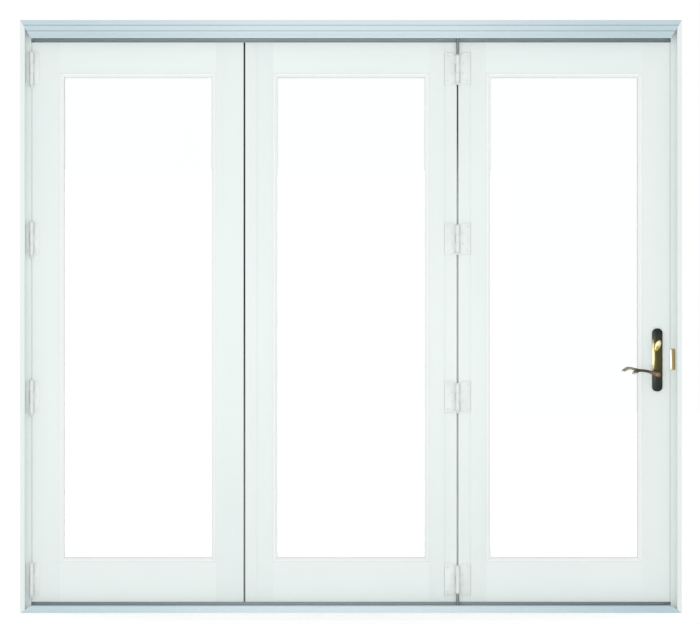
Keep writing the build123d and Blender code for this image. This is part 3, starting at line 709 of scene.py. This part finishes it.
def hinge_knuckles(mesh, side, first, flat, axle, barrel):
    """A plate's share of the barrel: tongues that reach to the axis, and turned knuckles."""
    level = barrel / KNUCKLES
    tall = level - KNUCKLE_GAP
    root = side * TONGUE_REACH
    profile = [
        (KNUCKLE_RADIUS - KNUCKLE_EDGE, 0), (KNUCKLE_RADIUS, KNUCKLE_EDGE),
        (KNUCKLE_RADIUS, tall - KNUCKLE_EDGE), (KNUCKLE_RADIUS - KNUCKLE_EDGE, tall),
    ]
    for index in range(first, KNUCKLES, 2):
        low = -barrel / 2 + index * level + KNUCKLE_GAP / 2
        tongue = [(0, low), (root, low), (root, low + tall), (0, low + tall)]
        slab(mesh, tongue, HINGE_THICKNESS, HINGE_RIM / 2, flat, steps=1)
        lathe(mesh, profile, axle @ Matrix.Translation((0, 0, low)), KNUCKLE_SIDES)


def barrel_axis(solids, facing, z):
    """Places a profile on the axis of a set of hinges."""
    return upright(hinge_lines[solids], FACES[facing] + facing * KNUCKLE_STANDOFF, z)


def make_hinges(name, solids, facing, reaches, barrel):
    """All hinges of one upright joint, with rounded plates, turned knuckles and screws."""
    plates = bmesh.new()
    screws = bmesh.new()
    radius = WIDE_SCREW if barrel < HINGE_LENGTH else SLIM_SCREW
    left, right = reaches
    for middle_z in HINGE_HEIGHTS:
        flat = on_face(hinge_lines[solids], middle_z, facing)
        axle = barrel_axis(solids, facing, middle_z)
        for first, (side, reach) in enumerate(((facing, left), (-facing, right))):
            slab(plates, hinge_plate(side, reach, barrel), HINGE_THICKNESS, HINGE_RIM, flat)
            for across, up in screw_places(reach, barrel):
                spot = Matrix.Translation((side * across, up, HINGE_THICKNESS))
                screw(screws, flat @ spot, radius)
            hinge_knuckles(plates, side, first, flat, axle, barrel)
    piece_from(name, plates, "white_powder_coat", "door", solids)
    piece_from(f"{name}_screws", screws, "white_powder_coat", "door")


def make_pins():
    """Button caps and turned finials of the loose pins; over the guide a pin ends in a stub."""
    pins = bmesh.new()
    button = sized(BUTTON_PROFILE, CAP_RADIUS, CAP_HEIGHT)
    stub = sized(COLLAR_PROFILE + STUB_PROFILE, CAP_RADIUS, -CAP_HEIGHT)
    collar = sized(COLLAR_PROFILE, CAP_RADIUS, -CAP_HEIGHT)
    finial = collar + sized(FINIAL_PROFILE, CAP_RADIUS, -CAP_HEIGHT - FINIAL_HEIGHT)
    for _, solids, facing, _, barrel in HINGE_SETS:
        for middle_z in HINGE_HEIGHTS:
            over_guide = solids == "front_hinges" and middle_z == HINGE_HEIGHTS[0]
            top = barrel_axis(solids, facing, middle_z + barrel / 2)
            foot = barrel_axis(solids, facing, middle_z - barrel / 2)
            lathe(pins, button, top)
            lathe(pins, stub if over_guide else finial, foot)
    piece_from("pin_caps", pins, "white_powder_coat", "door", "hinge_pins")


# Lock furniture

def make_escutcheon(name, facing, solid):
    """Long plate with a soft rim and a raised field."""
    plate = bmesh.new()
    seat = on_face(handle_x, ESCUTCHEON_HEIGHT, facing)
    rim = plate_outline(ESCUTCHEON_WIDTH, ESCUTCHEON_LENGTH, ESCUTCHEON_CORNER)
    field = plate_outline(
        ESCUTCHEON_WIDTH - 2 * FIELD_INSET, ESCUTCHEON_LENGTH - 2 * FIELD_INSET,
        ESCUTCHEON_CORNER - FIELD_INSET,
    )
    slab(plate, rim, ESCUTCHEON_DEPTH, ESCUTCHEON_RIM, seat, steps=4)
    slab(plate, field, FACE_TO_SEAT, FIELD_RIM, seat)
    piece_from(name, plate, "oil_rubbed_bronze", "door", solid)


def make_plate_screws():
    """The two screws that clamp the plates through the leaf, with their heads on the room side."""
    screws = bmesh.new()
    seat = on_face(handle_x, ESCUTCHEON_HEIGHT, ROOM)
    for up in (-ESCUTCHEON_SCREWS, ESCUTCHEON_SCREWS):
        screw(screws, seat @ Matrix.Translation((0, up, FACE_TO_SEAT)), PLATE_SCREW)
    piece_from("plate_screws", screws, "oil_rubbed_bronze", "door")


def make_lever(name, facing, solid):
    """Shank, turned hub and neck, and a waved grip with a spur under it."""
    lever = bmesh.new()
    out = on_face(handle_x, lever_height, facing)
    seat = FACE_TO_SEAT + SEAT_GAP
    end = FACE_TO_SEAT + GRIP_REACH
    shank = [(SHANK_RADIUS, 0), (SHANK_RADIUS, seat)]
    hub = sized(HUB_PROFILE, HUB_RADIUS, HUB_LENGTH, seat)
    neck = [(NECK_RADIUS, seat + NECK_START), (NECK_RADIUS, end)]
    boss = sized(BOSS_PROFILE, BOSS_RADIUS, GRIP_DEPTH / 2, end)
    lathe(lever, shank + hub + neck, out)
    lathe(lever, boss, out)
    middle = out @ Matrix.Translation((0, 0, end)) @ Matrix.Diagonal((-facing, 1, 1, 1))
    swept(lever, GRIP, middle)
    swept(lever, SPUR, middle)
    piece_from(
        name, lever, "oil_rubbed_bronze", "lever_handle", solid, material=LEVER_BRONZE,
    )


def make_thumb_turn():
    """Rose, neck and oval head of the thumb turn, tilted as it stands in the photograph."""
    turn = bmesh.new()
    out = on_face(handle_x, turn_height, ROOM)
    seat = FACE_TO_SEAT + SEAT_GAP
    rose_top = seat + ROSE_HEIGHT
    head = rose_top + TURN_NECK_LENGTH
    shank = [(SHANK_RADIUS, 0), (SHANK_RADIUS, seat)]
    rose = sized(ROSE_PROFILE, ROSE_RADIUS, ROSE_HEIGHT, seat)
    neck = [
        (FLARE_RADIUS, rose_top), (TURN_NECK_RADIUS, rose_top + FLARE_HEIGHT),
        (TURN_NECK_RADIUS, head),
    ]
    lathe(turn, shank + rose + neck, out)
    shape = Matrix.Diagonal((TURN_WIDTH / 2, TURN_LENGTH / 2, TURN_THICKNESS, 1))
    tilt = Matrix.Rotation(math.radians(-TURN_TILT), 4, "Z")
    oval = out @ Matrix.Translation((0, 0, head)) @ tilt @ shape
    lathe(turn, TURN_PROFILE, oval, OVAL_SIDES)
    piece_from("brass_thumb_turn", turn, "polished_brass", "thumb_turn_knob", "thumb_turn")


def make_strike():
    """Strike with a rounded lip over the gap and a pierced plate let into the jamb's edge."""
    strike = bmesh.new()
    low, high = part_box("strike_plate")
    left, front = low.x / MM, low.y / MM
    right, back = high.x / MM, high.y / MM
    middle_z = (low.z + high.z) / 2 / MM
    face = FACES[ROOM]
    wide = right - left + STRIKE_LIP
    lip = plate_outline(wide, STRIKE_LENGTH, STRIKE_CORNER)
    flange = on_face(left + wide / 2 - STRIKE_LIP, middle_z, ROOM)
    slab(strike, lip, face - front, STRIKE_RIM, flange)
    deep = back - face
    turned = Matrix(((0, 0, -1), (-1, 0, 0), (0, 1, 0))).to_4x4()
    sunk = upright(left + STRIKE_THICKNESS, face + deep / 2, middle_z) @ turned
    outer = plate_outline(deep, STRIKE_LENGTH, STRIKE_INNER_CORNER)
    hole = plate_outline(*STRIKE_HOLE, STRIKE_INNER_CORNER)
    pierced(strike, outer, hole, STRIKE_THICKNESS, sunk)
    piece_from("brass_strike", strike, "polished_brass", "door", "strike_plate")


# Stage: a wide floor, one soft lamp in even surroundings, in metres and watts
FLOOR_REACH = 40.0
FLOOR_CORNERS = ((-1, -1), (1, -1), (1, 1), (-1, 1))
KEY_PLACE = Vector((-0.3, -5.0, 0.7))
KEY_TARGET = Vector((0, 0, 0.8))
KEY_SIZE = 2.0
KEY_POWER = 37


def make_floor():
    """Pale matt floor, far wider than the door."""
    data = bpy.data.meshes.new("floor")
    corners = [(x * FLOOR_REACH, y * FLOOR_REACH, 0) for x, y in FLOOR_CORNERS]
    data.from_pydata(corners, [], [range(len(corners))])
    data.materials.append(finish(
        "pale_floor", "#F6F6F5", "#F2F3F3", (900, 900, 900), (5, 5, 5), (0.75, 0.9), 0.02,
        {"IOR": 1.2, "Emission Color": colour("#FFFFFF"), "Emission Strength": 0.2},
    ))
    floor = bpy.data.objects.new("floor", data)
    bpy.context.scene.collection.objects.link(floor)


def make_studio():
    """Even pale surroundings and one soft key lamp."""
    world = bpy.data.worlds.new("studio")
    world.use_nodes = True
    sky = world.node_tree.nodes["Background"]
    sky.inputs["Color"].default_value = (1.0, 1.0, 1.0, 1.0)
    sky.inputs["Strength"].default_value = 1.0
    bpy.context.scene.world = world
    bpy.context.scene.view_settings.view_transform = "Standard"
    lamp = bpy.data.lights.new("key", "AREA")
    lamp.size = KEY_SIZE
    lamp.energy = KEY_POWER
    stand = bpy.data.objects.new("key", lamp)
    stand.location = KEY_PLACE
    stand.rotation_euler = (KEY_TARGET - KEY_PLACE).to_track_quat("-Z", "Y").to_euler()
    bpy.context.scene.collection.objects.link(stand)


# The photograph's frame: the door's middle and top row in pixels, at one scale on its front
PICTURE_WIDTH = 700
PICTURE_HEIGHT = 625
DOOR_MIDDLE_PIXEL = 351
DOOR_TOP_PIXEL = 20
PIXEL_SIZE = 3.55 * MM
CAMERA_DISTANCE = 20.0
CAMERA_SIGHT = 200.0
SENSOR_WIDTH = 36.0


def make_camera():
    """Straight on to the door, as in the photograph."""
    data = bpy.data.cameras.new("camera")
    data.sensor_width = SENSOR_WIDTH
    data.lens = SENSOR_WIDTH * CAMERA_DISTANCE / (PICTURE_WIDTH * PIXEL_SIZE)
    data.clip_end = CAMERA_SIGHT
    camera = bpy.data.objects.new("camera", data)
    camera.location = (
        (PICTURE_WIDTH / 2 - DOOR_MIDDLE_PIXEL) * PIXEL_SIZE,
        FRAME_FACE * MM - CAMERA_DISTANCE,
        cad_box[1].z - (PICTURE_HEIGHT / 2 - DOOR_TOP_PIXEL) * PIXEL_SIZE,
    )
    camera.rotation_euler = (math.radians(90), 0, 0)
    bpy.context.scene.collection.objects.link(camera)
    bpy.context.scene.camera = camera


make_camera()
make_studio()
make_floor()
dress_solids()
for hinge_set in HINGE_SETS:
    make_hinges(*hinge_set)
make_pins()
make_escutcheon("room_plate", ROOM, "front_escutcheon")
make_escutcheon("garden_plate", GARDEN, "back_escutcheon")
make_plate_screws()
make_lever("room_lever", ROOM, "front_lever")
make_lever("garden_lever", GARDEN, "back_lever")
make_thumb_turn()
make_strike()
